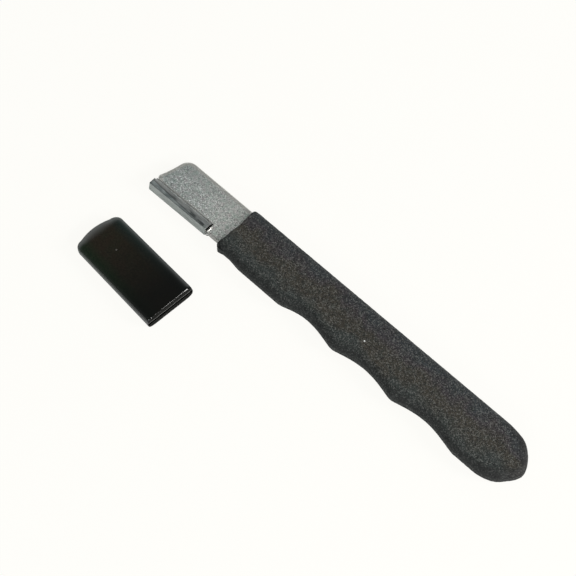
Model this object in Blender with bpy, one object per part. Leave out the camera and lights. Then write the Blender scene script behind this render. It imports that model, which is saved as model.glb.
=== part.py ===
"""Hand-held carbide edge tool with its slip-on blade cap.

A flat steel blank carries a carbide bar, brazed into a notch along one edge near the tip. The rest of
the blank is a full tang with three finger grooves, inside a thick dipped coating that is the grip.
A soft vinyl cap lies beside the blade, with its mouth toward the butt.

Units are metres and +Z is up. +X runs from the butt of the grip to the tip of the blade, and +Y points
from the straight spine to the finger grooves. Tool and cap both lie on the plane z = 0. The origin is
the middle of the bounding box of the whole set, at its base.

The tool is drawn in a frame of its own: x = 0 is the front face of the grip and y = 0 is the spine edge
of the steel. The cap is drawn with x = 0 at its mouth and y = 0 on its middle line.
"""
import math

import bmesh
import bpy
from mathutils import Matrix, Vector

MM = 0.001

# Steel blank
PLATE_THICKNESS = 2.2 * MM
BLADE_WIDTH = 13.35 * MM
BLADE_REACH = 29.0 * MM        # from the grip to the unrounded corner beside the carbide
TIP_SLANT = math.radians(15.0)
TIP_BULGE = 0.18 * MM
TIP_CORNER_RADIUS = 3.5 * MM

# Notch in the blank's edge, with the carbide bar and the braze that holds it
NOTCH_START = 5.7 * MM         # in front of the grip
NOTCH_WALL = 10.45 * MM        # from the spine edge
NOTCH_TURN = math.radians(0.9)
NOTCH_CORNER_RADIUS = 1.1 * MM # rounds the steel where the notch runs out at the tip
NOTCH_RAMP = 1.3 * MM
NOTCH_RAMP_DEPTH = 0.62 * MM
BAR_LENGTH = 22.6 * MM
BAR_END_GAP = 0.52 * MM
BAR_SEAM = 0.62 * MM
BAR_THICKNESS = 2.9 * MM
BAR_TOP_WIDTH = 2.17 * MM
BAR_BASE_WIDTH = 2.78 * MM
BAR_EDGE_BREAK = 0.1 * MM
BRAZE_GAP = 0.15 * MM
BRAZE_RECESS = 0.15 * MM

# Dipped grip
GRIP_LENGTH = 105.1 * MM
GRIP_THICKNESS = 5.4 * MM
GRIP_EDGE_RADIUS = 2.0 * MM
SPINE_COAT = 1.08 * MM
FINGER_COAT = 1.4 * MM
TANG_CLEARANCE = 0.3 * MM
SPINE_BUTT_DEPTH = 12.0 * MM   # the butt starts to round in earlier on the spine
FINGER_BUTT_DEPTH = 10.5 * MM
CREST_WIDTH = 15.35 * MM       # finger side of the first crest, from the spine edge of the steel
CREST_TAPER = 0.0015           # the crests fall toward the spine by this much per unit of length
FRONT_STEP = 0.55 * MM
FRONT_STEP_START = 4.3 * MM
FRONT_STEP_END = 9.3 * MM
GROOVE_COUNT = 3
FIRST_GROOVE = 33.5 * MM
GROOVE_PITCH = 21.6 * MM
GROOVE_DEPTH = 1.95 * MM
GROOVE_REACH = 11.6 * MM
FIRST_GROOVE_FRONT_REACH = 9.3 * MM

# Slip-on cap
CAP_LENGTH = 34.1 * MM
CAP_WIDTH = 16.0 * MM
CAP_THICKNESS = 4.9 * MM
CAP_EDGE_RADIUS = 1.9 * MM
CAP_CORNER_RADIUS = 2.6 * MM
CAP_CROWN = 0.95 * MM
CAP_SIDE_TAPER = 0.2 * MM      # how far each side draws in at the closed end
CAP_TAPER = 0.1                # share of its thickness lost from the mouth to the closed end
CAP_WALL = 1.4 * MM
CAP_CAVITY_HEIGHT = 2.0 * MM
CAP_MOUTH_OFFSET = (-4.1 * MM, 36.82 * MM)   # middle of the mouth in the tool's frame
CAP_TURN = math.radians(-3.7)

# Mesh fineness
EDGE_STEPS = 4
BUTT_STEPS = 24
FINGER_STEPS = 56
ARC_STEPS = 8
CAP_SIDE_STEPS = 6

MID_HEIGHT = GRIP_THICKNESS / 2
PLATE_LOW = MID_HEIGHT - PLATE_THICKNESS / 2
PLATE_HIGH = MID_HEIGHT + PLATE_THICKNESS / 2
BAR_LOW = MID_HEIGHT - BAR_THICKNESS / 2
BAR_HIGH = MID_HEIGHT + BAR_THICKNESS / 2
CUT_MARGIN = 1.0 * MM          # how far a cutter stands past what it cuts


def clear_scene():
    """Remove every object that the file starts with."""
    for old in list(bpy.data.objects):
        bpy.data.objects.remove(old, do_unlink=True)


def make_material(name, colour, roughness, metallic):
    """Plain Principled material."""
    material = bpy.data.materials.new(name)
    material.use_nodes = True
    shader = material.node_tree.nodes["Principled BSDF"]
    shader.inputs["Base Color"].default_value = (*colour, 1.0)
    shader.inputs["Roughness"].default_value = roughness
    shader.inputs["Metallic"].default_value = metallic
    return material


def make_object(name, mesh_data, parent, material=None):
    """Wrap a bmesh in a named object under its frame empty."""
    bmesh.ops.recalc_face_normals(mesh_data, faces=mesh_data.faces)
    mesh = bpy.data.meshes.new(name)
    mesh_data.to_mesh(mesh)
    mesh_data.free()
    mesh.shade_smooth()
    mesh.set_sharp_from_angle(angle=math.radians(35))
    piece = bpy.data.objects.new(name, mesh)
    bpy.context.collection.objects.link(piece)
    piece.parent = parent
    if material is not None:
        mesh.materials.append(material)
    return piece


def make_frame(name):
    """Empty that carries one moving group."""
    frame = bpy.data.objects.new(name, None)
    frame.empty_display_size = 10 * MM
    bpy.context.collection.objects.link(frame)
    return frame


def cut_away(piece, cutter):
    """Subtract the cutter from the piece, and keep the cutter out of the model."""
    cutter.hide_render = True
    cutter.display_type = 'WIRE'
    cut = piece.modifiers.new("cut_" + cutter.name, 'BOOLEAN')
    cut.operation = 'DIFFERENCE'
    cut.solver = 'EXACT'
    cut.object = cutter


def arc_between(start, end, bulge, steps):
    """Points after start up to end on the arc that stands bulge to the right of the chord."""
    start = Vector(start)
    end = Vector(end)
    chord = end - start
    outward = Vector((chord.y, -chord.x)).normalized()
    radius = (chord.length ** 2 / 4 + bulge ** 2) / (2 * bulge)
    centre = (start + end) / 2 + outward * (bulge - radius)
    sweep = 2 * math.asin(chord.length / (2 * radius))
    points = []
    for step in range(1, steps + 1):
        arm = Matrix.Rotation(sweep * step / steps, 2) @ (start - centre)
        points.append(tuple(centre + arm))
    return points


def fillet(before, corner, after, radius, steps):
    """Points of the arc that rounds a corner of an outline."""
    corner = Vector(corner)
    back = (Vector(before) - corner).normalized()
    ahead = (Vector(after) - corner).normalized()
    half_angle = back.angle(ahead) / 2
    setback = radius / math.tan(half_angle)
    centre = corner + (back + ahead).normalized() * radius / math.sin(half_angle)
    start = corner + back * setback - centre
    end = corner + ahead * setback - centre
    sweep = start.angle_signed(end)
    points = []
    for step in range(steps + 1):
        arm = Matrix.Rotation(-sweep * step / steps, 2) @ start
        points.append(tuple(centre + arm))
    return points


def prism(outline, axis, low, high):
    """Extrude a closed outline, drawn in the plane across the given axis, from low to high on that axis."""
    mesh_data = bmesh.new()
    place = {
        'X': lambda u, v, w: (w, u, v),
        'Y': lambda u, v, w: (u, w, v),
        'Z': lambda u, v, w: (u, v, w),
    }[axis]
    rings = []
    for level in (low, high):
        rings.append([mesh_data.verts.new(place(u, v, level)) for u, v in outline])
    mesh_data.faces.new(rings[0])
    mesh_data.faces.new(rings[1])
    count = len(outline)
    for index in range(count):
        following = (index + 1) % count
        mesh_data.faces.new((rings[0][index], rings[0][following], rings[1][following], rings[1][index]))
    return mesh_data


def rounded_slab(plan, low, high, radius):
    """Slab with rounded long edges and one flat end. plan(inset) gives its open outline, end to end."""
    mesh_data = bmesh.new()
    rings = []
    for centre, first, last in ((low + radius, -90, 0), (high - radius, 0, 90)):
        for step in range(EDGE_STEPS + 1):
            angle = math.radians(first + (last - first) * step / EDGE_STEPS)
            height = centre + radius * math.sin(angle)
            outline = plan(radius * (1 - math.cos(angle)))
            rings.append([mesh_data.verts.new((x, y, height)) for x, y in outline])
    for lower, upper in zip(rings, rings[1:]):
        for index in range(len(lower) - 1):
            mesh_data.faces.new((lower[index], lower[index + 1], upper[index + 1], upper[index]))
    mesh_data.faces.new(rings[0])
    mesh_data.faces.new(rings[-1])
    flat_end = [ring[0] for ring in rings] + [ring[-1] for ring in reversed(rings)]
    mesh_data.faces.new(flat_end)
    return mesh_data


def smooth_step(value):
    """Ease from 0 to 1, clamped outside that range."""
    value = min(max(value, 0.0), 1.0)
    return value * value * (3 - 2 * value)


def finger_edge(x):
    """Y of the grip's finger side, x behind its front face being negative."""
    y = CREST_WIDTH + CREST_TAPER * (x + FRONT_STEP_END)
    y -= FRONT_STEP * smooth_step((x + FRONT_STEP_END) / (FRONT_STEP_END - FRONT_STEP_START))
    for index in range(GROOVE_COUNT):
        centre = -FIRST_GROOVE - index * GROOVE_PITCH
        in_front = index == 0 and x > centre
        reach = FIRST_GROOVE_FRONT_REACH if in_front else GROOVE_REACH
        offset = (x - centre) / reach
        if abs(offset) < 1:
            y -= GROOVE_DEPTH * (1 - offset ** 2) ** 1.5
    return y


def grip_plan(spine_inset, finger_inset, butt_inset):
    """Open outline of the grip, from the front of the spine round the butt to the finger side's front."""
    butt = -GRIP_LENGTH + butt_inset
    finger_start = -GRIP_LENGTH + FINGER_BUTT_DEPTH
    spine = -SPINE_COAT + spine_inset
    finger = finger_edge(finger_start) - finger_inset
    middle = (spine + finger) / 2
    half_width = (finger - spine) / 2
    points = [(0.0, spine), (finger_start / 2, spine)]
    for step in range(BUTT_STEPS + 1):
        angle = math.pi * step / BUTT_STEPS
        depth = SPINE_BUTT_DEPTH if step < BUTT_STEPS / 2 else FINGER_BUTT_DEPTH
        x = butt + (depth - butt_inset) * (1 - math.sin(angle))
        points.append((x, middle - half_width * math.cos(angle)))
    for step in range(1, FINGER_STEPS + 1):
        x = finger_start * (1 - step / FINGER_STEPS)
        points.append((x, finger_edge(x) - finger_inset))
    return points


def blade_tip():
    """Outline of the steel in front of the grip, from the finger edge round the tip to the spine."""
    corner = (BLADE_REACH, NOTCH_WALL + (BLADE_REACH - NOTCH_START) * math.tan(NOTCH_TURN))
    spine_corner = (BLADE_REACH - corner[1] * math.tan(TIP_SLANT), 0.0)
    nose = fillet((0.0, corner[1]), corner, spine_corner, NOTCH_CORNER_RADIUS, ARC_STEPS)
    rounding = fillet(corner, spine_corner, (0.0, 0.0), TIP_CORNER_RADIUS, ARC_STEPS)
    points = [(nose[0][0], BLADE_WIDTH)] + nose
    points += arc_between(nose[-1], rounding[0], TIP_BULGE, ARC_STEPS)
    return points + rounding[1:]


def notch_place(x, y):
    """Matrix from the notch's own frame, whose x runs along its wall, to the tool's frame."""
    corner = Matrix.Translation((NOTCH_START, NOTCH_WALL, 0.0))
    return corner @ Matrix.Rotation(NOTCH_TURN, 4, 'Z') @ Matrix.Translation((x, y, 0.0))


def build_steel_blade(frame):
    """Blade and full tang in one flat piece, notched for the carbide bar."""
    outline = grip_plan(SPINE_COAT, FINGER_COAT, FINGER_COAT) + blade_tip()
    steel = make_material("blasted_steel", (0.30, 0.31, 0.30), 0.55, 0.9)
    blade = make_object("steel_blade", prism(outline, 'Z', PLATE_LOW, PLATE_HIGH), frame, steel)

    far = BAR_LENGTH + BAR_END_GAP + 10 * CUT_MARGIN
    ramp_top = -NOTCH_RAMP * (1 + CUT_MARGIN / NOTCH_RAMP_DEPTH)
    profile = [
        (far, PLATE_HIGH + CUT_MARGIN),
        (ramp_top, PLATE_HIGH + CUT_MARGIN),
        (0.0, PLATE_HIGH - NOTCH_RAMP_DEPTH),
        (0.0, PLATE_LOW + NOTCH_RAMP_DEPTH),
        (ramp_top, PLATE_LOW - CUT_MARGIN),
        (far, PLATE_LOW - CUT_MARGIN),
    ]
    notch = make_object("notch_cutter", prism(profile, 'Y', 0.0, BLADE_WIDTH), frame)
    notch.data.transform(notch_place(0.0, 0.0))
    cut_away(blade, notch)
    return blade


def build_carbide_bar(frame):
    """Hard bar whose outer side leans out toward its lower edge."""
    profile = [
        (0.0, BAR_LOW),
        (BAR_BASE_WIDTH, BAR_LOW),
        (BAR_TOP_WIDTH, BAR_HIGH),
        (0.0, BAR_HIGH),
    ]
    carbide = make_material("carbide", (0.12, 0.13, 0.13), 0.3, 0.8)
    bar = make_object("carbide_bar", prism(profile, 'X', 0.0, BAR_LENGTH), frame, carbide)
    bar.data.transform(notch_place(BAR_END_GAP, BAR_SEAM))
    edge_break = bar.modifiers.new("edge_break", 'BEVEL')
    edge_break.width = BAR_EDGE_BREAK
    edge_break.segments = 1
    return bar


def build_braze_seam(frame):
    """Silver braze along the bar's inner side and across its inner end, in one L-shaped run."""
    near_wall = BRAZE_GAP
    near_bar = BAR_SEAM - BRAZE_GAP
    near_bar_end = BAR_END_GAP - BRAZE_GAP
    front = BAR_END_GAP + BAR_LENGTH - BRAZE_RECESS
    outer_side = BLADE_WIDTH - NOTCH_WALL - BRAZE_RECESS
    outline = [
        (near_wall, near_wall),
        (front, near_wall),
        (front, near_bar),
        (near_bar_end, near_bar),
        (near_bar_end, outer_side),
        (near_wall, outer_side),
    ]
    silver = make_material("silver_braze", (0.35, 0.34, 0.32), 0.35, 1.0)
    low = PLATE_LOW + BRAZE_RECESS
    high = PLATE_HIGH - BRAZE_RECESS
    seam = make_object("braze_seam", prism(outline, 'Z', low, high), frame, silver)
    seam.data.transform(notch_place(0.0, 0.0))
    return seam


def build_grip(frame):
    """Coating dipped over the tang: closed round the butt, and open at its front for the steel."""
    def skin_plan(inset):
        return grip_plan(inset, inset, inset)

    vinyl = make_material("dipped_vinyl", (0.045, 0.045, 0.038), 0.75, 0.0)
    skin = rounded_slab(skin_plan, 0.0, GRIP_THICKNESS, GRIP_EDGE_RADIUS)
    grip = make_object("grip", skin, frame, vinyl)

    spine_inset = SPINE_COAT - TANG_CLEARANCE
    finger_inset = FINGER_COAT - TANG_CLEARANCE
    pocket_outline = grip_plan(spine_inset, finger_inset, finger_inset)
    pocket_outline.append((CUT_MARGIN, pocket_outline[-1][1]))
    pocket_outline.append((CUT_MARGIN, pocket_outline[0][1]))
    pocket = prism(pocket_outline, 'Z', PLATE_LOW - TANG_CLEARANCE, PLATE_HIGH + TANG_CLEARANCE)
    cut_away(grip, make_object("tang_pocket_cutter", pocket, frame))
    return grip


def cap_plan(inset):
    """Open outline of the cap, from one side of its mouth round the closed end to the other side."""
    half_width = CAP_WIDTH / 2 - inset
    shoulder = CAP_LENGTH - CAP_CROWN - inset
    end_half_width = half_width - CAP_SIDE_TAPER
    corner_radius = CAP_CORNER_RADIUS - inset
    corners = [(0.0, -half_width), (shoulder, -end_half_width), (shoulder, end_half_width), (0.0, half_width)]
    first = fillet(*corners[:3], corner_radius, ARC_STEPS)
    second = fillet(*corners[1:], corner_radius, ARC_STEPS)
    first_side = []
    for step in range(CAP_SIDE_STEPS):
        share = step / CAP_SIDE_STEPS
        first_side.append((shoulder * share, -half_width + CAP_SIDE_TAPER * share))
    second_side = [(x, -y) for x, y in reversed(first_side)]
    crown = arc_between(first[-1], second[0], CAP_CROWN, 2 * ARC_STEPS)
    return first_side + first + crown + second[1:] + second_side


def taper_toward_end(mesh_data):
    """Thin the cap evenly from its mouth to its closed end."""
    for vertex in mesh_data.verts:
        vertex.co.z *= 1 - CAP_TAPER * vertex.co.x / CAP_LENGTH


def build_cap(frame):
    """Slip-on vinyl sheath, closed at its far end, whose slot takes the blade."""
    black = make_material("glossy_vinyl", (0.006, 0.006, 0.006), 0.18, 0.0)
    shell = rounded_slab(cap_plan, 0.0, CAP_THICKNESS, CAP_EDGE_RADIUS)
    taper_toward_end(shell)
    cap = make_object("cap", shell, frame, black)

    low = (CAP_THICKNESS - CAP_CAVITY_HEIGHT) / 2
    slot_outline = [(max(x, 0.0), y) for x, y in cap_plan(CAP_WALL)]
    slot_outline.insert(0, (-CUT_MARGIN, slot_outline[0][1]))
    slot_outline.append((-CUT_MARGIN, slot_outline[-1][1]))
    slot = prism(slot_outline, 'Z', low, low + CAP_CAVITY_HEIGHT)
    taper_toward_end(slot)
    cut_away(cap, make_object("cap_slot_cutter", slot, frame))
    return cap


def centre_on_origin(frames, pieces):
    """Move the frames so that the pieces stand on the middle of their bounding box."""
    bpy.context.view_layer.update()
    graph = bpy.context.evaluated_depsgraph_get()
    points = []
    for piece in pieces:
        solid = piece.evaluated_get(graph)
        points += [solid.matrix_world @ vertex.co for vertex in solid.data.vertices]
    shift = Vector()
    for axis in (0, 1):
        values = [point[axis] for point in points]
        shift[axis] = -(min(values) + max(values)) / 2
    for frame in frames:
        frame.location += shift


def main():
    clear_scene()
    tool_frame = make_frame("tool_frame")
    cap_frame = make_frame("cap_frame")
    cap_frame.location = (*CAP_MOUTH_OFFSET, 0.0)
    cap_frame.rotation_euler.z = CAP_TURN
    pieces = [
        build_steel_blade(tool_frame),
        build_carbide_bar(tool_frame),
        build_braze_seam(tool_frame),
        build_grip(tool_frame),
        build_cap(cap_frame),
    ]
    centre_on_origin([tool_frame, cap_frame], pieces)


main()
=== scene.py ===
"""Looks of the carbide edge beveler and of the slip-on cap beside it.

Lengths are metres, given in millimetres times MM. The tool is drawn in a frame of its own: x = 0 is the
front face of the grip, y = 0 is the spine edge of the steel, and x grows toward the tip. The cap's frame
has x = 0 at its mouth and y = 0 on its middle line. Both stand on z = 0.
"""
import math

import bpy
import numpy as np
from mathutils import Matrix, Vector, noise
from mathutils.geometry import delaunay_2d_cdt


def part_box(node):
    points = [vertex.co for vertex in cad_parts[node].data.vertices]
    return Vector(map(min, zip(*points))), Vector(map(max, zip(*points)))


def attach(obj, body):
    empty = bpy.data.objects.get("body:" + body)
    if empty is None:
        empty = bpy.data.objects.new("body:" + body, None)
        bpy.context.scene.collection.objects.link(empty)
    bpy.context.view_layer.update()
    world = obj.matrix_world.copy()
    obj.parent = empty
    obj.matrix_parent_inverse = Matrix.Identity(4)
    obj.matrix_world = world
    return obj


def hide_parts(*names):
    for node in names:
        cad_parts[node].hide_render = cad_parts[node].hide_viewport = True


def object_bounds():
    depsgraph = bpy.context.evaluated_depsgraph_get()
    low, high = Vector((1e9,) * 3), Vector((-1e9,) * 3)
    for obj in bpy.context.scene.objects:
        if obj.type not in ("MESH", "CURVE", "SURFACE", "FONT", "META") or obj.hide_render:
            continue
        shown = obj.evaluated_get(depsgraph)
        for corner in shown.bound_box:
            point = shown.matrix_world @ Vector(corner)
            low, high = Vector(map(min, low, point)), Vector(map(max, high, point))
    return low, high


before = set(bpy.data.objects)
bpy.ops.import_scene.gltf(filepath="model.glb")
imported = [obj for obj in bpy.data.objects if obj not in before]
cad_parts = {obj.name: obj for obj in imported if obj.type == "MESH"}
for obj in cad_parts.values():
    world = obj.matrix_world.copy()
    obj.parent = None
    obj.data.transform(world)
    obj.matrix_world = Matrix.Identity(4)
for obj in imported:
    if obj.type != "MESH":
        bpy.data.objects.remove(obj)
cad_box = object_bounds()

MM = 0.001
CREASE_ANGLE = math.radians(50)
RING_CLEARANCE = 0.985         # a ring's points that crowd nearer to the outline than this are dropped

# Steel blank
PLATE_THICKNESS = 2.2 * MM
BLADE_WIDTH = 13.35 * MM
BLADE_REACH = 29.0 * MM        # from the grip to the unrounded corner beside the carbide
TIP_SLANT = math.radians(15.0)
TIP_BULGE = 0.18 * MM
TIP_CORNER_RADIUS = 3.5 * MM
NOTCH_CORNER_RADIUS = 1.1 * MM
RIM_WIDTH = 0.7 * MM           # rounded-over edge along the tip and the spine
RIM_DROP = 0.08 * MM
RIM_FADE = 1.95                # its smoother finish has faded out this many rim widths in
NOTCH_HIGHLIGHT_WIDTH = 0.32 * MM    # painted highlight along the notch edge, fainter and narrower than along the tip
NOTCH_HIGHLIGHT_FADE = 1.3
NOTCH_HIGHLIGHT_SHARE = 0.8
SIDE_BREAK = 0.16 * MM         # sharper edges on the finger side and along the notch
EDGE_LINE_INSET = 0.2 * MM          # dark line just inside the finger side
EDGE_LINE_HALF_WIDTH = 0.16 * MM
BLAST_RELIEF = 0.012 * MM
SPARKLE_MIDDLE = 7.5 * MM      # the blast glitters most along this line
SPARKLE_HALF_WIDTH = 3.2 * MM
SPARKLE_START = 5.0 * MM       # and more from here on, toward the tip

# Notch, carbide bar and braze
NOTCH_START = 5.7 * MM
NOTCH_WALL = 10.45 * MM
NOTCH_TURN = math.radians(0.9)
NOTCH_SIN = math.sin(NOTCH_TURN)
NOTCH_COS = math.cos(NOTCH_TURN)
NOTCH_RAMP = 1.3 * MM
NOTCH_RAMP_DEPTH = 0.62 * MM
NOTCH_RAMP_SIDE = 0.95 * MM    # the ramp's smooth floor starts this far from the wall
RAMP_STEP = 0.05 * MM
WETTED_REACH = 2.7 * MM        # solder has wetted the ramp's floor this far from the wall
BAR_LENGTH = 22.6 * MM
BAR_END_GAP = 0.52 * MM
BAR_SEAM = 0.62 * MM
BAR_THICKNESS = 2.9 * MM
BAR_TOP_WIDTH = 2.17 * MM
BAR_BASE_WIDTH = 2.78 * MM
BAR_EDGE_BREAK = 0.1 * MM
GROUND_BAND_START = 2.05 * MM  # inner edge of the ground band on the bar's top, at the inner end
GROUND_BAND_SLANT = 0.0605
SEAM_SINK = 0.09 * MM          # the solder along the bar lies this far below the steel's face
SEAM_CLIMB = 0.06 * MM         # and climbs this much where it meets the walls
SEAM_CLIMB_REACH = 0.12 * MM
END_SINK = 1.55 * MM           # across the bar's inner end it lies deep
END_RISE = 0.75 * MM           # and rises again at the outer side

# Solder above the seam, in the notch's frame: a ridge across the ramp's foot, and a bead that ran out
RIDGE_PLACE = (-0.1 * MM, 1.6 * MM, 3.22 * MM)
RIDGE_RADII = (0.38 * MM, 1.15 * MM, 0.4 * MM)
BEAD_PLACE = (0.05 * MM, 2.95 * MM, 2.05 * MM)
BEAD_RADII = (0.75 * MM, 0.42 * MM, 0.55 * MM)

# Dipped grip
GRIP_LENGTH = 105.1 * MM
GRIP_THICKNESS = 5.4 * MM
GRIP_EDGE_RADIUS = 2.0 * MM
GRIP_CORNER_RADIUS = 1.1 * MM  # corners of the front face, seen from above
GRIP_LIP_RADIUS = 0.45 * MM
SPINE_COAT = 1.08 * MM
FINGER_COAT = 1.4 * MM
SPINE_BUTT_DEPTH = 12.0 * MM
FINGER_BUTT_DEPTH = 10.5 * MM
CREST_WIDTH = 15.35 * MM
CREST_TAPER = 0.0015
FRONT_STEP = 0.55 * MM
FRONT_STEP_START = 4.3 * MM
FRONT_STEP_END = 9.3 * MM
GROOVE_COUNT = 3
FIRST_GROOVE = 33.5 * MM
GROOVE_PITCH = 21.6 * MM
GROOVE_DEPTH = 1.95 * MM
GROOVE_REACH = 11.6 * MM
FIRST_GROOVE_FRONT_REACH = 9.3 * MM
FRONT_DENT = 0.25 * MM         # the dip stops a little short in the middle of the front face
FRONT_DENT_MIDDLE = 6.0 * MM
FRONT_DENT_REACH = 2.2 * MM
CORNER_BEAD = 0.4 * MM         # the last of the dip gathered at the finger side's front corner
CORNER_BEAD_REACH = 1.6 * MM
SAND_RELIEF = 0.035 * MM
FLECK_PLACE = (-50.4 * MM, 8.4 * MM, GRIP_THICKNESS)
FLECK_RADIUS = 0.25 * MM

# Two faint swells and a flat round the butt: bearing and spread in degrees, and height
BUTT_CENTRE = (-93.0 * MM, 7.0 * MM)
BUTT_SWELLS = ((225, 14, 0.34 * MM), (180, 9, 0.33 * MM), (157, 10, -0.32 * MM))
BUTT_SWELLS_START = 2.0 * MM   # they lie behind this, measured from the centre of the bearings

# Painted shade along the grip's long edges, and a wider band of it round the butt
EDGE_SHADE_REACH = 2.7 * MM
EDGE_SHADE_FADE = 2.1 * MM
BUTT_SHADE_REACH = 3.1 * MM
BUTT_SHADE_FADE = 2.3 * MM
BUTT_SHADE_START = 14.0 * MM   # from the end of the butt
BUTT_SHADE_RUN = 7.0 * MM

# Slip-on cap
CAP_LENGTH = 34.1 * MM
CAP_WIDTH = 16.0 * MM
CAP_THICKNESS = 4.9 * MM
CAP_EDGE_RADIUS = 1.9 * MM
CAP_EDGE_REACH = 3.0 * MM      # the rounding fades into the crowned top over this width
CAP_EDGE_POWER = 2.8
CAP_CORNER_RADIUS = 2.6 * MM
CAP_CROWN = 0.95 * MM
CAP_SIDE_TAPER = 0.2 * MM
CAP_TAPER = 0.1
CAP_TURN = math.radians(-3.7)
CAP_UPPER_LIP = (0.55 * MM, 0.95 * MM)   # rounding of the mouth's upper edge, at its +Y and -Y ends
CAP_LOWER_LIP = 0.15 * MM
CAP_LEAST_HEIGHT = 0.6 * MM
CAP_NOSE_REACH = 4.2 * MM      # how far the closed end's slope runs back
CAP_NOSE_DROP = 0.62 * MM
CAP_SLOT_WIDTH = 13.1 * MM
CAP_SLOT_HEIGHT = 0.6 * MM     # the relaxed mouth closes in to this
CAP_SLOT_LEVEL = 2.4 * MM      # middle of the mouth
CAP_CAVITY_HEIGHT = 2.0 * MM
CAP_CAVITY_DEPTH = 31.5 * MM
CAP_SLOT_FLARE = 0.15 * MM
CAP_CUT_REACH = 0.35 * MM      # the mouth's cut face, with its edges, goes no further in than this
CAP_CUT_FACING = 0.74          # and above the slot it takes in only what faces this squarely out
SPECK_PLACE = (23.2 * MM, 0.15 * MM, 4.6 * MM)
SPECK_RADIUS = 0.3 * MM

# Camera, in the tool's frame
CAMERA_TARGET = (-22.3 * MM, 9.05 * MM, 0.0)
CAMERA_ELEVATION = math.radians(62.3)
CAMERA_HEADING = (0.6941, -0.7199)
CAMERA_DISTANCE = 397.6 * MM
CAMERA_LENS = 88.75

# Stage
PALE = (0.99, 0.982, 0.947)
ROOM_COLOUR = (0.95, 1.0, 0.98)
ROOM_HIGH = 0.14               # light of the room overhead
ROOM_LOW = 1.25                # and low down beyond the tip
BEYOND_TIP = (0.86, -0.51, 0.0)
FLOOR_HALF = 1.5
FLOOR_GLOW = 0.95

MID_HEIGHT = GRIP_THICKNESS / 2
PLATE_LOW = MID_HEIGHT - PLATE_THICKNESS / 2
PLATE_HIGH = MID_HEIGHT + PLATE_THICKNESS / 2
BAR_LOW = MID_HEIGHT - BAR_THICKNESS / 2
BAR_HIGH = MID_HEIGHT + BAR_THICKNESS / 2


# ---- plan outlines

def turned(centre, arm, angle, steps):
    """Places of an arm's end as it turns about a centre."""
    return [tuple(centre + Matrix.Rotation(angle * step / steps, 2) @ arm) for step in range(steps + 1)]


def arc_between(start, end, bulge, steps):
    """Points after start up to end on the arc that stands bulge to the right of the chord."""
    start = Vector(start)
    end = Vector(end)
    chord = end - start
    outward = Vector((chord.y, -chord.x)).normalized()
    radius = (chord.length ** 2 / 4 + bulge ** 2) / (2 * bulge)
    centre = (start + end) / 2 + outward * (bulge - radius)
    sweep = 2 * math.asin(chord.length / (2 * radius))
    return turned(centre, start - centre, sweep, steps)[1:]


def fillet(before, corner, after, radius, steps=16):
    """Points of the arc that rounds a corner of an outline."""
    corner = Vector(corner)
    back = (Vector(before) - corner).normalized()
    ahead = (Vector(after) - corner).normalized()
    half_angle = back.angle(ahead) / 2
    setback = radius / math.tan(half_angle)
    centre = corner + (back + ahead).normalized() * radius / math.sin(half_angle)
    start = corner + back * setback - centre
    end = corner + ahead * setback - centre
    return turned(centre, start, -start.angle_signed(end), steps)


def smooth_step(value):
    """Ease from 0 to 1, clamped outside that range."""
    value = np.clip(value, 0.0, 1.0)
    return value * value * (3 - 2 * value)


def finger_edge(x):
    """Y of the grip's finger side, x behind its front face being negative."""
    y = CREST_WIDTH + CREST_TAPER * (x + FRONT_STEP_END)
    y -= FRONT_STEP * smooth_step((x + FRONT_STEP_END) / (FRONT_STEP_END - FRONT_STEP_START))
    for index in range(GROOVE_COUNT):
        centre = -FIRST_GROOVE - index * GROOVE_PITCH
        in_front = index == 0 and x > centre
        reach = FIRST_GROOVE_FRONT_REACH if in_front else GROOVE_REACH
        offset = (x - centre) / reach
        if abs(offset) < 1:
            y -= GROOVE_DEPTH * (1 - offset ** 2) ** 1.5
    return y


def grip_plan(spine_inset, finger_inset, butt_inset, butt_steps=72, finger_steps=240):
    """Open outline of the grip, from the spine's front round the butt to the finger side's front."""
    butt = -GRIP_LENGTH + butt_inset
    finger_start = -GRIP_LENGTH + FINGER_BUTT_DEPTH
    spine = -SPINE_COAT + spine_inset
    finger = finger_edge(finger_start) - finger_inset
    middle = (spine + finger) / 2
    half_width = (finger - spine) / 2
    points = [(0.0, spine)]
    for step in range(butt_steps + 1):
        angle = math.pi * step / butt_steps
        depth = SPINE_BUTT_DEPTH if step < butt_steps / 2 else FINGER_BUTT_DEPTH
        x = butt + (depth - butt_inset) * (1 - math.sin(angle))
        points.append((x, middle - half_width * math.cos(angle)))
    for step in range(1, finger_steps + 1):
        x = finger_start * (1 - step / finger_steps)
        points.append((x, finger_edge(x) - finger_inset))
    return points


def bell(offset, reach):
    """Bump of height 1 at offset 0 that has died away at about twice the reach."""
    return math.exp(-(offset / reach) ** 2)


def uneven_butt(line):
    """The grip's outline with the faint swells and the flat that the dip left round its butt."""
    points = []
    for x, y in line:
        arm = Vector((x - BUTT_CENTRE[0], y - BUTT_CENTRE[1]))
        bearing = math.degrees(math.atan2(arm.y, arm.x)) % 360
        swell = sum(height * bell(bearing - place, spread) for place, spread, height in BUTT_SWELLS)
        if x < BUTT_CENTRE[0] + BUTT_SWELLS_START:
            arm += arm.normalized() * swell
        points.append((BUTT_CENTRE[0] + arm.x, BUTT_CENTRE[1] + arm.y))
    return points


def dented(front):
    """The line of the grip's front face, drawn back a little at its middle."""
    return [(x - FRONT_DENT * bell(y - FRONT_DENT_MIDDLE, FRONT_DENT_REACH), y) for x, y in front]


def beaded(line, corner):
    """The outline swollen forward and outward round one corner."""
    points = []
    for x, y in line:
        swell = CORNER_BEAD * bell(math.hypot(x - corner[0], y - corner[1]), CORNER_BEAD_REACH)
        points.append((x + swell, y + 0.8 * swell))
    return points


def notch_point(x, y):
    """Point of the notch's own frame, whose x runs along its wall, in the tool's frame."""
    return (NOTCH_START + x * NOTCH_COS - y * NOTCH_SIN, NOTCH_WALL + x * NOTCH_SIN + y * NOTCH_COS)


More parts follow.
